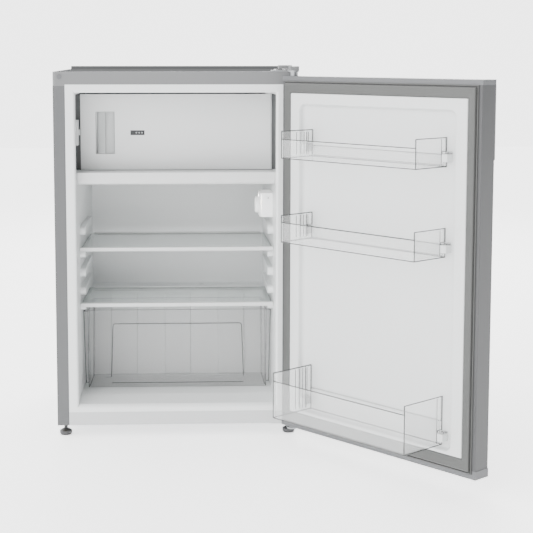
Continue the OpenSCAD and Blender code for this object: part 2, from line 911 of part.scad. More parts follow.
// The magnet strips lie along the middle of the gasket
module magnet_ring() {
  z0 = door_bottom + 10;
  z1 = door_top - 10;
  gasket_ring(gasket_half - 15, [z0 + 7, z0 + 15], gasket_half - 7, [z1 - 7, z1 - 15], -4, -2);
}

module gasket_magnets() {
  color("#3b3330") swung() magnet_ring();
}

// A tray with tall ends, a low wall facing the room's inside and hooks for its lugs
module basket(z, deep, end_h, wall_h) {
  t = 2.5;
  w = basket_w / 2;
  y0 = recess_y + 0.3;
  y1 = y0 + deep;
  color("#e6eff2", 0.4) swung() difference() {
    union() {
      block([-w, y0, z], [w, y1, z + end_h]);
      both_sides() block([w - 1, y0, z + 26.2], [w + 15, land_y + 3, z + 30]);
    }
    block([-(w - t), y0 + t, z + t], [w - t, y1 - t, z + end_h + 1]);
    block([-(w - t), y0 + t, z + wall_h], [w - t, y1 + 1, z + end_h + 1]);
    block([-(w - t), y0 - 1, z + 0.6 * wall_h], [w - t, y0 + t + 1, z + end_h + 1]);
  }
}

module top_basket() { basket(basket_z[0], basket_d, 57, 40); }

module middle_basket() { basket(basket_z[1], basket_d, 57, 42); }

module bottle_basket() { basket(basket_z[2], bottle_d, 98, 80); }

side_panels();
top_panel();
top_rail();
corner_caps();
corner_plugs();
cabinet_foam();
inner_liner();
bottom_rail();
base_pan();
back_panel();
compressor_plate();
compressor_grommets();
compressor_bolts();
compressor();
relay_cover();
cord_inlet();
evaporation_tray();
drain_tube();
suction_pipe();
discharge_pipe();
filter_drier();
condenser_coil();
condenser_wires();
condenser_brackets();
rear_feet();
left_foot();
right_foot();
ice_box();
freezer_sill();
flap_shell();
flap_back();
flap_insulation();
flap_grip();
flap_badge();
flap_clips();
flap_catch();
thermostat_housing();
lamp_lens();
lamp_bulb();
thermostat_knob();
door_switch();
shelf_glass();
shelf_trim();
cover_glass();
cover_trim();
crisper_drawer();
top_hinge();
hinge_cover();
bottom_hinge();
hinge_screws();
door_skin();
door_caps();
door_handle();
door_foam();
door_liner();
door_gasket();
gasket_magnets();
top_basket();
middle_basket();
bottle_basket();
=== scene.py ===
"""Under-counter fridge with its door open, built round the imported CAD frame. Metres, +Z up, front at -Y."""
import json
import math

import bmesh
import bpy
from mathutils import Matrix, Vector


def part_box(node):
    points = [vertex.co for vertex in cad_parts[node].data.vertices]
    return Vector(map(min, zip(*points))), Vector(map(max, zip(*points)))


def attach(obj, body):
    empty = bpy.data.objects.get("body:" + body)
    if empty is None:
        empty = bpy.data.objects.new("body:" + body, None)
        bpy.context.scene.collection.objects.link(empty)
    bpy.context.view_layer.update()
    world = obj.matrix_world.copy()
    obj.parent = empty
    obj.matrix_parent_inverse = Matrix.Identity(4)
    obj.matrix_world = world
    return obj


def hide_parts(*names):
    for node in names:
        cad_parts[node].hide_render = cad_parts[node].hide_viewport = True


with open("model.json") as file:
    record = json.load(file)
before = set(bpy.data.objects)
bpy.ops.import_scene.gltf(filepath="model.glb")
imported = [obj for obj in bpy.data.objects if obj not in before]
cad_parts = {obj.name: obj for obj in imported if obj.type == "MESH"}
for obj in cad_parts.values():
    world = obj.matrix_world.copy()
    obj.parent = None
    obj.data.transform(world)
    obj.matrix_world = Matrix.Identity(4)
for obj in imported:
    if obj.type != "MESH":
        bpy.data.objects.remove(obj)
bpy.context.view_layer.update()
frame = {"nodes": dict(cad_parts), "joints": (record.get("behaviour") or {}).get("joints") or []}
NODES = frame["nodes"]

# ---------------------------------------------------------------- places taken from the CAD

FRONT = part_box("side_panels")[0].y  # the cabinet's front plane
HINGE = next(j for j in frame["joints"] if j["name"] == "door_hinge")
DOOR_AXIS = Vector(HINGE["pos_m"])
SWING = (
    Matrix.Translation(DOOR_AXIS)
    @ Matrix.Rotation(-math.radians(HINGE["range_deg"][0]), 4, "Z")
    @ Matrix.Translation(-DOOR_AXIS)
)
SHARP = math.radians(25)  # an edge that turns less than this is part of a curve
DEPTH = Vector((0, 1, 0))
UP = Vector((0, 0, 1))


def at(x, depth, z):
    """A point from millimetres: x, depth behind the cabinet's front plane, height."""
    return Vector((x / 1000, FRONT + depth / 1000, z / 1000))


def shut_box(name):
    """Lowest and highest corners of a door piece with the door shut, in millimetres of x, depth, z."""
    back = SWING.inverted()
    points = [back @ v.co - Vector((0, FRONT, 0)) for v in NODES[name].data.vertices]
    low = Vector([min(p[i] for p in points) for i in range(3)])
    high = Vector([max(p[i] for p in points) for i in range(3)])
    return low * 1000, high * 1000


# ---------------------------------------------------------------- mesh helpers


def from_bmesh(name, bm, body, finishes):
    """Turns a bmesh into a smooth-shaded piece that rides on a body."""
    bmesh.ops.recalc_face_normals(bm, faces=bm.faces)
    mesh = bpy.data.meshes.new(name)
    bm.to_mesh(mesh)
    bm.free()
    mesh.polygons.foreach_set("use_smooth", [True] * len(mesh.polygons))
    mesh.set_sharp_from_angle(angle=math.radians(30))
    piece = bpy.data.objects.new(name, mesh)
    bpy.context.scene.collection.objects.link(piece)
    for finish in finishes:
        mesh.materials.append(finish)
    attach(piece, body)
    return piece


def bevelled(piece, width, segments=2, weights=False, edge_material=-1):
    """Rounds a piece's sharp edges with a modifier; its mesh stays as it is."""
    bevel = piece.modifiers.new("edge", "BEVEL")
    bevel.width = width / 1000
    bevel.segments = segments
    bevel.limit_method = "WEIGHT" if weights else "ANGLE"
    bevel.angle_limit = math.radians(35)
    bevel.harden_normals = True
    bevel.material = edge_material
    return piece


def cad_copy(name):
    """A CAD node's shape as a bmesh."""
    bm = bmesh.new()
    bm.from_mesh(NODES[name].data)
    bmesh.ops.remove_doubles(bm, verts=bm.verts, dist=1e-5)
    return bm


def softened(name, body, finishes, radius_of, segments=3, edge_material=-1, clamp=True):
    """A copy of a CAD node with round edges; radius_of gives each sharp edge's radius in millimetres."""
    bm = cad_copy(name)
    layer = bm.edges.layers.float.new("bevel_weight_edge")
    radii = {}
    for edge in bm.edges:
        if len(edge.link_faces) == 2 and edge.calc_face_angle(0) > SHARP:
            radii[edge] = radius_of(edge)
    largest = max(radii.values())
    for edge, radius in radii.items():
        edge[layer] = radius / largest
    piece = from_bmesh("soft_" + name, bm, body, finishes)
    bevelled(piece, largest, segments, weights=True, edge_material=edge_material)
    piece.modifiers["edge"].use_clamp_overlap = clamp
    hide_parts(name)
    return piece


def span(edge):
    """An edge's direction and its length in millimetres."""
    way = edge.verts[1].co - edge.verts[0].co
    return way.normalized(), way.length * 1000


def skin(bm, rings, closed_ends=False):
    """Joins rings of equally many points with quads."""
    made = [[bm.verts.new(p) for p in ring] for ring in rings]
    n = len(made[0])
    for a, b in zip(made, made[1:]):
        for i in range(n):
            bm.faces.new((a[i], a[(i + 1) % n], b[(i + 1) % n], b[i]))
    if closed_ends:
        bm.faces.new(made[0][::-1])
        bm.faces.new(made[-1])
    return made


def frame_ring(half, low, high, radius, depth, steps=5):
    """A rounded rectangle that faces the front, as points from the lower right corner on."""
    points = []
    corners = ((half, low, -90), (half, high, 0), (-half, high, 90), (-half, low, 180))
    for x, z, start in corners:
        cx = x - math.copysign(radius, x)
        cz = z + radius if z == low else z - radius
        for i in range(steps + 1):
            a = math.radians(start + 90 * i / steps)
            points.append(at(cx + radius * math.cos(a), depth, cz + radius * math.sin(a)))
    return points


def tube(bm, path, radius, closed=False, sides=8):
    """A round ridge along a list of points."""
    rings = []
    n = len(path)
    for i, p in enumerate(path):
        before = path[i - 1] if closed or i else p
        after = path[(i + 1) % n] if closed or i < n - 1 else p
        way = (after - before).normalized()
        side = way.cross(DEPTH if abs(way.y) < 0.9 else UP).normalized()
        other = way.cross(side)
        turn = [2 * math.pi * k / sides for k in range(sides)]
        rings.append([p + (side * math.cos(a) + other * math.sin(a)) * radius / 1000 for a in turn])
    if closed:
        rings.append(rings[0])
    skin(bm, rings, closed_ends=not closed)


def box(bm, low, high):
    """A box between two corners in millimetres of x, depth, z."""
    xs, ds, zs = zip(low, high)
    corners = ((xs[0], ds[0]), (xs[1], ds[0]), (xs[1], ds[1]), (xs[0], ds[1]))
    skin(bm, [[at(x, depth, z) for x, depth in corners] for z in zs], closed_ends=True)


def outer_lines(name, body, radius, least, steepness=0.0):
    """Rolled beads along a clear piece's long outer edges, where its wall is thickest to look through; their
    dark finish is painted shade.
    """
    bm = cad_copy(name)
    low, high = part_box(name)
    centre = (low + high) / 2
    paths = []
    for edge in bm.edges:
        way, length = span(edge)
        if length < least or abs(way.z) < steepness:
            continue
        if not edge.is_convex or edge.calc_face_angle(0) < SHARP:
            continue
        a, b = (v.co.copy() for v in edge.verts)
        out = (a + b) / 2 - centre
        if all(face.normal.dot(out) > 0 for face in edge.link_faces):
            paths.append((a, b))
    bm.free()
    lines = bmesh.new()
    for a, b in paths:
        tube(lines, [a, b], radius, sides=6)
    return from_bmesh(name + "_edges", lines, body, [CLEAR_EDGE_SHADE])


# ---------------------------------------------------------------- materials


def material(name, colour, roughness, **sockets):
    """A Principled material; sockets gives further inputs by name."""
    m = bpy.data.materials.new(name)
    m.use_nodes = True
    shader = m.node_tree.nodes["Principled BSDF"]
    shader.inputs["Base Color"].default_value = (*colour, 1)
    shader.inputs["Roughness"].default_value = roughness
    for key, value in sockets.items():
        shader.inputs[key.replace("_", " ")].default_value = value
    return m


def add(m, kind, data_type=None, **values):
    """A new shader node with some of its inputs set."""
    made = m.node_tree.nodes.new(kind)
    if data_type:
        made.data_type = data_type
    for key, value in values.items():
        made.inputs[key.replace("_", " ")].default_value = value
    return made


def textured(m, scale, bump, tint=0.04, spread=0.06, stretch=(1, 1, 1), wear=0.0):
    """Fine grain in the surface and gloss, a slow change of shade, and paler edges where it is worn."""
    tree = m.node_tree
    shader = tree.nodes["Principled BSDF"]
    colour = shader.inputs["Base Color"].default_value[:3]
    gloss = shader.inputs["Roughness"].default_value
    place = add(m, "ShaderNodeTexCoord")
    mapping = add(m, "ShaderNodeMapping", Scale=stretch)
    grain = add(m, "ShaderNodeTexNoise", Scale=scale, Detail=4.0, Roughness=0.6)
    broad = add(m, "ShaderNodeTexNoise", Scale=7.0, Detail=3.0, Roughness=0.55)
    tree.links.new(place.outputs["Object"], mapping.inputs["Vector"])
    tree.links.new(mapping.outputs["Vector"], grain.inputs["Vector"])
    tree.links.new(place.outputs["Object"], broad.inputs["Vector"])
    dark = (*[c * (1 - tint) for c in colour], 1)
    pale = (*[min(1, c * (1 + tint)) for c in colour], 1)
    shade = add(m, "ShaderNodeMix", "RGBA")
    shade.inputs[6].default_value = dark
    shade.inputs[7].default_value = pale
    tree.links.new(broad.outputs["Fac"], shade.inputs["Factor"])
    result = shade.outputs[2]
    if wear:
        geometry = add(m, "ShaderNodeNewGeometry")
        sharp = add(m, "ShaderNodeMapRange", From_Min=0.505, From_Max=0.56)
        worn = add(m, "ShaderNodeMix", "RGBA")
        worn.inputs[7].default_value = (*[min(1, c * (1 + wear)) for c in colour], 1)
        tree.links.new(geometry.outputs["Pointiness"], sharp.inputs["Value"])
        tree.links.new(sharp.outputs["Result"], worn.inputs["Factor"])
        tree.links.new(result, worn.inputs[6])
        result = worn.outputs[2]
    tree.links.new(result, shader.inputs["Base Color"])
    rough = add(m, "ShaderNodeMapRange", To_Min=max(0, gloss - spread), To_Max=min(1, gloss + spread))
    tree.links.new(grain.outputs["Fac"], rough.inputs["Value"])
    tree.links.new(rough.outputs["Result"], shader.inputs["Roughness"])
    raised = add(m, "ShaderNodeBump", Strength=bump, Distance=0.0004)
    tree.links.new(grain.outputs["Fac"], raised.inputs["Height"])
    tree.links.new(raised.outputs["Normal"], shader.inputs["Normal"])
    return m


def see_through(name, colour, face_on, grazing, roughness=0.05, ior=1.49):
    """A thin clear wall: nearly unseen face on and denser where it is seen at a slant."""
    m = material(name, colour, roughness, IOR=ior)
    tree = m.node_tree
    shader = tree.nodes["Principled BSDF"]
    edge = add(m, "ShaderNodeLayerWeight", Blend=0.3)
    place = add(m, "ShaderNodeTexCoord")
    flow = add(m, "ShaderNodeTexNoise", Scale=14.0, Detail=2.0, Roughness=0.4)
    wave = add(m, "ShaderNodeBump", Strength=0.1, Distance=0.002)
    tree.links.new(place.outputs["Object"], flow.inputs["Vector"])
    tree.links.new(flow.outputs["Fac"], wave.inputs["Height"])
    tree.links.new(wave.outputs["Normal"], shader.inputs["Normal"])
    density = add(m, "ShaderNodeMapRange", To_Min=face_on, To_Max=grazing)
    tree.links.new(edge.outputs["Facing"], density.inputs["Value"])
    tree.links.new(density.outputs["Result"], shader.inputs["Alpha"])
    gloss = add(m, "ShaderNodeMapRange", To_Min=roughness * 0.6, To_Max=roughness * 1.8)
    tree.links.new(flow.outputs["Fac"], gloss.inputs["Value"])
    tree.links.new(gloss.outputs["Result"], shader.inputs["Roughness"])
    return m


PAINT = textured(material("painted_steel", (0.085, 0.087, 0.09), 0.38, Metallic=0.2, Coat_Weight=0.1),
                 900, 0.05)
# A darker copy of the painted steel for the door's skin: painted shade for the door's outer face, which is
# turned away from the light.
DOOR_PAINT_SHADED = textured(material("door_steel_painted_shade", (0.052, 0.053, 0.055), 0.4, Metallic=0.2, Coat_Weight=0.05),
                      900, 0.05)
TOP_PAINT = textured(material("top_paint", (0.05, 0.051, 0.052), 0.7, Specular_IOR_Level=0.0),
                     700, 0.12, wear=0.8)
SILVER = textured(material("silver_plastic", (0.095, 0.097, 0.099), 0.42), 1200, 0.06, wear=0.5)
END_CAP = textured(material("end_cap_plastic", (0.06, 0.062, 0.065), 0.42), 1100, 0.08, wear=0.6)
FOAM = textured(material("rigid_foam", (0.66, 0.55, 0.30), 0.9), 300, 0.5, tint=0.1)
LINER = textured(material("white_liner", (0.6, 0.613, 0.613), 0.35), 420, 0.05, tint=0.012)
# A brighter copy of the white liner for the cabinet's cavity: painted light that stands in for more light
# reaching inside.
CAVITY_PAINTED_LIGHT = textured(material("cavity_liner_painted_light", (0.7, 0.715, 0.715), 0.35), 420, 0.05, tint=0.012)
WHITE = textured(material("white_plastic", (0.58, 0.588, 0.588), 0.38), 900, 0.05, tint=0.012)
RAIL = textured(material("rail_plastic", (0.5, 0.508, 0.512), 0.42), 900, 0.05, tint=0.015)
GRIP = textured(material("grip_plastic", (0.40, 0.412, 0.412), 0.4), 900, 0.06, tint=0.015)
# Dark grey for the strips beside the flap: painted shade for the gaps there.
GAP_SHADE = textured(material("gap_shade_plastic", (0.13, 0.134, 0.134), 0.5), 900, 0.06)
ZINC = textured(material("zinc_sheet", (0.34, 0.35, 0.36), 0.42, Metallic=0.8), 60, 0.1, tint=0.14)
BLACK_STEEL = textured(material("black_steel", (0.018, 0.018, 0.02), 0.36, Coat_Weight=0.3),
                       600, 0.15, wear=3.0)
BLACK = textured(material("black_plastic", (0.014, 0.014, 0.015), 0.45), 1000, 0.12, wear=2.0)
RUBBER = textured(material("rubber", (0.02, 0.02, 0.02), 0.75), 500, 0.2)
GASKET = textured(material("gasket_vinyl", (0.055, 0.057, 0.055), 0.5, Sheen_Weight=0.1), 700, 0.08)
# A darker copy of the gasket for the fold at its foot: painted shade for that crease.
GROOVE_SHADE = textured(material("gasket_groove_painted_shade", (0.045, 0.045, 0.045), 0.7), 700, 0.1)
COPPER = textured(material("copper", (0.62, 0.29, 0.15), 0.32, Metallic=1.0), 90, 0.06, tint=0.2)
BOLT = textured(material("plated_steel", (0.55, 0.55, 0.56), 0.28, Metallic=1.0), 300, 0.05, tint=0.06)
ICE = textured(material("coated_aluminium", (0.40, 0.41, 0.42), 0.45, Metallic=0.6), 260, 0.12, tint=0.06)
MAGNET = textured(material("ferrite", (0.05, 0.045, 0.04), 0.6), 400, 0.1)
BADGE = textured(material("badge", (0.008, 0.009, 0.011), 0.35), 900, 0.04)
MARK = textured(material("pale_marks", (0.3, 0.305, 0.31), 0.4), 900, 0.03)
GREY_MARK = textured(material("grey_marks", (0.22, 0.225, 0.23), 0.5), 900, 0.03)
LAMP = textured(material("lamp_cover", (0.85, 0.85, 0.83), 0.35, Emission_Color=(1, 0.98, 0.94, 1),
                         Emission_Strength=9.0), 500, 0.04, tint=0.01)
# White plastic with a faint glow: painted light on the thermostat housing and its dial, which give no light
# of their own.
PAINTED_GLOW = textured(material("painted_glow_plastic", (0.74, 0.75, 0.75), 0.38, Emission_Color=(1, 0.99, 0.97, 1),
                        Emission_Strength=0.55), 900, 0.05, tint=0.012)
BULB = textured(material("bulb", (0.95, 0.93, 0.85), 0.3), 500, 0.02, tint=0.01)
GLASS = see_through("shelf_glass", (0.62, 0.68, 0.665), 0.08, 0.55, ior=1.52)
GLASS_EDGE = see_through("glass_edge", (0.10, 0.14, 0.13), 0.7, 0.95, ior=1.52)
CLEAR = see_through("clear_wall", (0.82, 0.83, 0.83), 0.06, 0.32)
# A dark, nearly solid finish for the edges, ribs and raised lines of the clear parts: painted shade for how
# clear plastic looks when seen edge-on.
CLEAR_EDGE_SHADE = see_through("clear_edge_painted_shade", (0.045, 0.047, 0.047), 0.72, 0.97)

FINISH = {
    PAINT: ["side_panels"],
    DOOR_PAINT_SHADED: ["door_skin"],
    TOP_PAINT: ["top_panel"],
    SILVER: ["top_rail", "corner_caps", "door_handle", "hinge_cover"],
    END_CAP: ["door_caps", "corner_plugs"],
    FOAM: ["cabinet_foam", "door_foam"],
    CAVITY_PAINTED_LIGHT: ["inner_liner"],
    LINER: ["door_liner", "flap_back"],
    WHITE: ["flap_insulation", "flap_shell", "flap_clips", "flap_catch", "thermostat_housing",
            "thermostat_knob", "door_switch", "shelf_trim", "cover_trim", "freezer_sill", "drain_tube"],
    RAIL: ["bottom_rail"],
    GRIP: ["flap_grip"],
    BADGE: ["flap_badge"],
    ZINC: ["base_pan", "back_panel", "compressor_plate", "top_hinge", "bottom_hinge"],
    BLACK_STEEL: ["compressor", "condenser_coil", "condenser_wires"],
    BLACK: ["relay_cover", "cord_inlet", "evaporation_tray", "condenser_brackets", "rear_feet", "left_foot",
            "right_foot"],
    RUBBER: ["compressor_grommets"],
    BOLT: ["compressor_bolts", "hinge_screws"],
    COPPER: ["suction_pipe", "discharge_pipe", "filter_drier"],
    ICE: ["ice_box"],
    LAMP: ["lamp_lens"],
    BULB: ["lamp_bulb"],
    GLASS: ["shelf_glass", "cover_glass"],
    CLEAR: ["crisper_drawer", "top_basket", "middle_basket", "bottle_basket"],
    GASKET: ["door_gasket"],
    MAGNET: ["gasket_magnets"],
}


def finish_cad():
    """Gives every CAD node its material."""
    for finish, names in FINISH.items():
        for name in names:
            NODES[name].data.materials.clear()
            NODES[name].data.materials.append(finish)


# ---------------------------------------------------------------- cabinet


def fold_radius(edge):
    """Folded sheet is wide on the long outer folds, less on the inner ones and sharp elsewhere."""
    way, length = span(edge)
    if length < 100 or abs(way.z) < 0.9:
        return 0.3
    return 2.6 if edge.is_convex else 1.6


MOUTH_HALF, MOUTH_LOW, MOUTH_HIGH = 0.225, 0.066, 0.779  # just outside the cavity's opening, in metres


def liner_radius(edge):
    """A round mouth, round corners and soft rails; the flange's outer edges stay sharp."""
    way, length = span(edge)
    if max(v.co.y for v in edge.verts) < FRONT + 0.003:
        inside = all(abs(v.co.x) < MOUTH_HALF and MOUTH_LOW < v.co.z < MOUTH_HIGH for v in edge.verts)
        return 5 if inside and edge.is_convex and length > 300 else 0.3
    if length > 250:
        return 4 if not edge.is_convex else 1.2
    return 0.5


def cabinet():
    """The folded sides, the moulded liner and rounder edges on the nodes that show as they are."""
    softened("side_panels", "cabinet", [PAINT], fold_radius)
    # The cavity liner takes the brighter copy of the liner, which is painted light.
    softened("inner_liner", "cabinet", [CAVITY_PAINTED_LIGHT], liner_radius, segments=4, clamp=False)
    bevelled(NODES["top_rail"], 2.2, 4)
    bevelled(NODES["corner_caps"], 2.2, 4)
    for name in ("top_panel", "corner_plugs", "bottom_rail", "hinge_cover",
                 "top_hinge", "bottom_hinge", "flap_catch", "flap_clips", "back_panel"):
        bevelled(NODES[name], 0.8)
    bevelled(NODES["freezer_sill"], 3, 4)
    for name in ("compressor", "relay_cover", "evaporation_tray", "cord_inlet", "left_foot", "right_foot",
                 "rear_feet", "condenser_brackets", "hinge_screws", "compressor_bolts"):
        bevelled(NODES[name], 0.9)


def hump_bands():
    """Flat raised bands that run up the hump and stop at its top."""
    bm = bmesh.new()
    foot, crest = 84.0, 286.0
    riser = 242.0  # the depth of the hump's face at its foot
    lean = 43.0 / (crest - 2 - foot)
    proud, side_slope = 4, 3
    for x0, x1 in ((-33, 33), (-164, -96), (96, 164)):
        rings = []
        for z, out in ((foot + 1, 0.2), (foot + 4, proud), (crest - 14, proud), (crest - 6, 0.2)):
            d = riser + lean * (z - foot)
            inset = side_slope if out == proud else 0
            rings.append([at(x0, d + 2, z), at(x0 + inset, d - out, z), at(x1 - inset, d - out, z),
                          at(x1, d + 2, z)])
        skin(bm, rings, closed_ends=True)
    # The bands take the cavity's brighter liner, which is painted light.
    piece = from_bmesh("hump_bands", bm, "cabinet", [CAVITY_PAINTED_LIGHT])
    bevelled(piece, 1.5, 2)


# ---------------------------------------------------------------- ice box flap


def flap_radius(edge):
    """The flap's long outer edges are rounder than its small ones."""
    return 2.2 if span(edge)[1] > 150 else 1.0


def flap():
    """The flap's shell and its finger grip."""
    softened("flap_shell", "flap", [WHITE], flap_radius)
    softened("flap_grip", "flap", [GRIP], lambda edge: 1.2)


def ice_box_gap_shade_strips():
    """Grey strips that close the gaps beside the flap, a few millimetres behind it; they are painted shade
    for those gaps, where only shade shows.
    """
    low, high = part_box("flap_shell")
    back = (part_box("flap_back")[1].y - FRONT) * 1000 + 4
    bm = bmesh.new()
    for side in (-1, 1):
        x0, x1 = sorted((side * 207.0, side * 231.5))
        box(bm, (x0, back, low.z * 1000 - 1), (x1, back + 3, high.z * 1000 + 0.5))
    bevelled(from_bmesh("ice_box_gap_shade_strips", bm, "cabinet", [GAP_SHADE]), 0.6)


def badge_stars():
    """Three plain stars that stand a little off the badge."""
    low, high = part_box("flap_badge")
    bm = bmesh.new()
    proud = 0.0002
    tip, notch, points = 0.0026, 0.0011, 10
    y = low.y - proud
    middle = (low + high) / 2
    for k in range(3):
        cx = low.x + (high.x - low.x) * (0.42 + 0.2 * k)
        rings = []
        for depth in (proud, 0):
            ring = []
            for i in range(points):
                r = tip if i % 2 == 0 else notch
                a = math.pi / 2 + math.pi * i / 5
                ring.append(Vector((cx + r * math.cos(a), y + depth, middle.z + r * math.sin(a))))
            rings.append(ring)
        skin(bm, rings, closed_ends=True)
    from_bmesh("badge_stars", bm, "flap", [MARK])


# ---------------------------------------------------------------- thermostat


def housing_radius(edge):
    """The lamp housing's corners are round and its slots are sharp."""
    return 2.5 if span(edge)[1] > 8 else 0.5


def thermostat():
    """The lamp's housing and a dial with a hollow face and a fluted rim, both with a faint painted glow."""
    softened("thermostat_housing", "cabinet", [PAINTED_GLOW], housing_radius)
    low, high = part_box("thermostat_knob")
    centre = (low + high) / 2
    radius = (high.z - low.z) / 2 * 1000
    x0, x1 = low.x * 1000, low.x * 1000 + 9.4
    bm = bmesh.new()
    rings = []
    flutes, steps = 24, 96
    outline = (
        (x0 + 1.2, 0, 0), (x0 + 1.2, radius - 5, 0), (x0, radius - 4, 0), (x0, radius - 1.6, 0),
        (x0 + 0.8, radius - 0.6, 0.5), (x1 - 1, radius - 0.4, 0.5), (x1, radius - 0.6, 0), (x1, 0, 0),
    )
    for x, r, flute in outline:
        ring = []
        for i in range(steps):
            a = 2 * math.pi * i / steps
            rr = max(r - flute * (0.5 + 0.5 * math.cos(flutes * a)), 0.05) / 1000
            ring.append(Vector((x / 1000, centre.y + rr * math.cos(a), centre.z + rr * math.sin(a))))
        rings.append(ring)
    skin(bm, rings, closed_ends=True)
    dial = from_bmesh("dial", bm, "knob", [PAINTED_GLOW])
    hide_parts("thermostat_knob")
    dial_marks(x0 / 1000 + 0.0011, centre, (radius - 7.5) / 1000)


def dial_marks(x, centre, reach):
    """Seven bars round the dial's face, each longer than the one before."""
    bm = bmesh.new()
    for k in range(7):
        a = math.radians(-40 + k * 40)
        c = Vector((x, centre.y + reach * math.cos(a), centre.z + reach * math.sin(a)))
        along = Vector((0, math.cos(a), math.sin(a))) * (0.0009 + 0.0003 * k)
        across = Vector((0, -math.sin(a), math.cos(a))) * 0.0004
        thick = Vector((0.0003, 0, 0))
        square = [c - along - across, c + along - across, c + along + across, c - along + across]
        skin(bm, [square, [p + thick for p in square]], closed_ends=True)
    from_bmesh("dial_marks", bm, "knob", [GREY_MARK])


# ---------------------------------------------------------------- shelves and crisper


def shelves():
    """Two glass plates with green edges and white trims."""
    for name, body in (("shelf_glass", "shelf"), ("cover_glass", "crisper_cover")):
        softened(name, body, [GLASS, GLASS_EDGE], lambda edge: 0.9, edge_material=1)
    for name in ("shelf_trim", "cover_trim"):
        bevelled(NODES[name], 1.6, 3)


def crisper():
    """The clear drawer, with the raised outline on its front; its bevels and outline take the dark edge
    finish, which is painted shade.
    """
    finishes = [CLEAR, CLEAR_EDGE_SHADE]
    softened("crisper_drawer", "crisper", finishes, lambda edge: 1.1, edge_material=1)
    outer_lines("crisper_drawer", "crisper", 0.7, 60, steepness=0.7)
    low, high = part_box("crisper_drawer")
    depth = (low.y - FRONT) * 1000 - 0.2
    z0, z1 = low.z * 1000 + 11, high.z * 1000 - 33
    step = z0 + 14
    top, bottom = 149.5, 154.0  # the outline's half widths
    corner, cut = 5, 1.5
    bm = bmesh.new()
    ridge = [at(-bottom, depth, step), at(-top, depth, z1 - corner), at(-top + cut, depth, z1 - cut),
             at(-top + corner, depth, z1), at(top - corner, depth, z1), at(top - cut, depth, z1 - cut),
             at(top, depth, z1 - corner), at(bottom, depth, step)]
    tube(bm, ridge, 0.9)
    tube(bm, [at(-bottom, depth, z0), at(bottom, depth, z0)], 0.9)
    tube(bm, [at(-bottom - 12, depth, step), at(-bottom, depth, step)], 0.5)
    from_bmesh("crisper_panel_line", bm, "crisper", [CLEAR_EDGE_SHADE])


# ---------------------------------------------------------------- door


def door_piece(name, bm, finishes, body="door"):
    """A piece modelled with the door shut, then swung open with it."""
    bmesh.ops.transform(bm, matrix=SWING, verts=bm.verts)
    return from_bmesh(name, bm, body, finishes)


def gasket():
    """A magnetic seal: a fold at its foot, a soft face and mitred corners."""
    low, high = shut_box("door_gasket")
    inner_low, inner_high = shut_box("door_liner")
    front, foot = high.y, low.y
    width_x = high.x - inner_high.x
    # each row is the distance in from the outer edge, the depth, and 1 where it lies in the groove
    profile = [
        (0.0, foot, 0), (0.2, foot + 2.4, 0), (1.6, foot + 2.8, 0), (2.2, foot + 1.0, 1),
        (4.0, foot + 1.0, 1), (4.4, front - 1.4, 0), (5.6, front - 0.3, 0), (8.0, front, 0),
        (14.0, front, 0), (15.6, front - 0.6, 0), (17.0, front - 0.7, 0),
        (width_x - 1.0, front - 2.0, 0), (width_x, foot + 0.5, 0),
    ]
    bm = bmesh.new()
    rings = []
    for step, depth, _ in profile:
        share = step / width_x
        z0 = low.z + (inner_low.z - low.z) * share
        z1 = high.z + (inner_high.z - high.z) * share
        x = high.x - step
        rings.append([at(x, depth, z0), at(x, depth, z1), at(-x, depth, z1), at(-x, depth, z0)])
    made = [[bm.verts.new(p) for p in ring] for ring in rings]
    for k in range(len(made) - 1):
        for i in range(4):
            j = (i + 1) % 4
            face = bm.faces.new((made[k][i], made[k][j], made[k + 1][j], made[k + 1][i]))
            # Faces in the groove take the darker gasket finish, which is painted shade for the crease.
            face.material_index = 1 if profile[k][2] and profile[k + 1][2] else 0
    piece = door_piece("seal", bm, [GASKET, GROOVE_SHADE])
    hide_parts("door_gasket")


def lugs(bm, z):
    """The two blocks that a basket hangs on."""
    for side in (-1, 1):
        x0, x1 = sorted((side * 185.0, side * 198.6))
        box(bm, (x0, -13, z + 10.4), (x1, 5.5, z + 25.6))


def door_liner():
    """A moulded inner door: a raised land round a shallow recess with round corners."""
    low, high = shut_box("door_liner")
    half, z0, z1 = high.x, low.z, high.z
    base, land = low.y + 1.2, -1.0
    r0, r1, rz0, rz1, floor = 2, 211.0, 82.0, 752.0, -12.0
    bm = bmesh.new()
    # each ring is its half width, lowest and highest point, corner radius and depth
    shape = [
        (half, z0, z1, r0, base), (half, z0, z1, r0, land - 3.2),
        (half - 0.5, z0 + 0.5, z1 - 0.5, r0 + 0.5, land - 1.4),
        (half - 1.6, z0 + 1.4, z1 - 1.6, r0 + 1, land - 0.4),
        (half - 3.4, z0 + 2.8, z1 - 3.4, r0 + 2, land),
        (r1 + 5, rz0 - 4, rz1 + 5, 17, land), (r1 + 2.6, rz0 - 2.2, rz1 + 2.6, 15, land - 0.5),
        (r1 + 0.9, rz0 - 0.7, rz1 + 0.9, 13.4, land - 2.2), (r1, rz0, rz1, 12.5, land - 5),
        (r1 - 0.9, rz0 + 0.9, rz1 - 0.9, 12, land - 8), (r1 - 2.8, rz0 + 2.8, rz1 - 2.8, 11, land - 10),
        (r1 - 6, rz0 + 6, rz1 - 6, 9, floor),
    ]
    made = skin(bm, [frame_ring(*row) for row in shape])
    bm.faces.new(made[-1])
    piece = door_piece("moulded_liner", bm, [LINER])
    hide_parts("door_liner")
    bm = bmesh.new()
    for name in ("top_basket", "middle_basket", "bottle_basket"):
        lugs(bm, shut_box(name)[0].z)
    bevelled(door_piece("basket_lugs", bm, [LINER]), 1.2, 3)


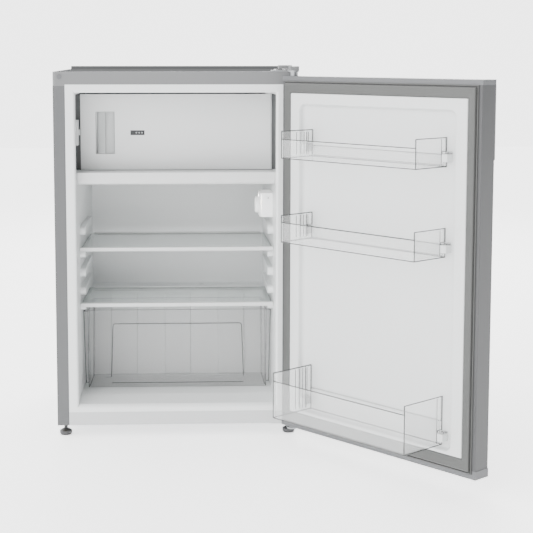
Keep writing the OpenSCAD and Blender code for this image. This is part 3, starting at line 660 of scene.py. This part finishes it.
def door():
    """The folded skin, the moulded inner side, the caps and handle, and the seal."""
    # The skin takes the darker copy of the steel, which is painted shade.
    softened("door_skin", "door", [DOOR_PAINT_SHADED], fold_radius)
    door_liner()
    bevelled(NODES["door_caps"], 1.8, 3)
    bevelled(NODES["door_handle"], 1.2, 3)
    gasket()


def baskets():
    """Clear baskets with ribs on the end near the hinge and a line down both ends; these and the bevels take
    the dark edge finish, which is painted shade.
    """
    hook = 15.0  # how far the hooks stand out at each end
    for name in ("top_basket", "middle_basket", "bottle_basket"):
        softened(name, name, [CLEAR, CLEAR_EDGE_SHADE], lambda edge: 1.0, edge_material=1)
        outer_lines(name, name, 0.95, 25)
        low, high = shut_box(name)
        half_w = (high.x - low.x) / 2 - hook
        bm = bmesh.new()
        for k in range(5):
            d = low.y + 12 + k * (4 + 1.2 * k)
            tube(bm, [at(half_w + 0.3, d, low.z + 6), at(half_w + 0.3, d, high.z - 4)], 0.8)
        for side in (-1, 1):
            x = side * (half_w + 0.2)
            tube(bm, [at(x, low.y + 16, low.z + 4), at(x, low.y + 16, high.z - 2)], 0.5)
        door_piece(name + "_ribs", bm, [CLEAR_EDGE_SHADE], body=name)


# ---------------------------------------------------------------- floor, lights and camera


def soft_light(name, place, target, size, power):
    """A large area lamp that faces a point."""
    data = bpy.data.lights.new(name, "AREA")
    data.shape = "RECTANGLE"
    data.size, data.size_y = size
    data.energy = power
    lamp = bpy.data.objects.new(name, data)
    lamp.location = place
    lamp.rotation_euler = (Vector(target) - Vector(place)).to_track_quat("-Z", "Y").to_euler()
    bpy.context.scene.collection.objects.link(lamp)


def studio_floor():
    """A plain pale floor that is bright in itself, like a light table."""
    bm = bmesh.new()
    reach = 9
    corners = ((-reach, -reach), (reach, -reach), (reach, reach), (-reach, reach))
    skin(bm, [[Vector((x, y, z)) for x, y in corners] for z in (-0.01, 0)], closed_ends=True)
    mesh = bpy.data.meshes.new("floor")
    bm.to_mesh(mesh)
    bm.free()
    floor = bpy.data.objects.new("floor", mesh)
    bpy.context.scene.collection.objects.link(floor)
    mesh.materials.append(textured(material("floor", (0.94, 0.94, 0.94), 0.6, Emission_Color=(1, 1, 1, 1),
                                           Emission_Strength=1.6), 40, 0.01, tint=0.004))


def sky_and_lights():
    """A white sky that is dimmer towards the right and front, and two soft lamps."""
    world = bpy.data.worlds.new("studio")
    world.use_nodes = True
    sky = world.node_tree.nodes["Background"]
    sky.inputs["Color"].default_value = (1, 1, 1, 1)
    nodes, links = world.node_tree.nodes, world.node_tree.links
    place = nodes.new("ShaderNodeTexCoord")
    towards = nodes.new("ShaderNodeVectorMath")
    towards.operation = "DOT_PRODUCT"
    towards.inputs[1].default_value = (0.74, -0.5, 0.45)
    strength = nodes.new("ShaderNodeMapRange")
    for key, value in (("From Min", 0.15), ("From Max", 0.9), ("To Min", 3.9), ("To Max", 0.3)):
        strength.inputs[key].default_value = value
    links.new(place.outputs["Generated"], towards.inputs[0])
    links.new(towards.outputs["Value"], strength.inputs["Value"])
    links.new(strength.outputs["Result"], sky.inputs["Strength"])
    bpy.context.scene.world = world
    soft_light("key", (-1.4, -3.8, 2.2), (0, 0, 0.45), (2.4, 2.4), 60)
    soft_light("back", (0.5, 3.0, 2.4), (0, 0, 0.5), (2.0, 2.0), 90)


def camera():
    """The camera, level with the cabinet's top and almost square to its front."""
    data = bpy.data.cameras.new("camera")
    data.sensor_width = 36
    data.lens = 90.28
    data.shift_x = 0.05
    data.shift_y = -0.12
    eye = bpy.data.objects.new("camera", data)
    eye.location = (0.0222, -3.1783, 0.8648)
    eye.rotation_euler = (math.radians(90 - 6.423), 0, math.radians(-2.307))
    bpy.context.scene.collection.objects.link(eye)
    bpy.context.scene.camera = eye


finish_cad()
cabinet()
hump_bands()
flap()
ice_box_gap_shade_strips()
badge_stars()
thermostat()
shelves()
crisper()
door()
baskets()
studio_floor()
sky_and_lights()
camera()
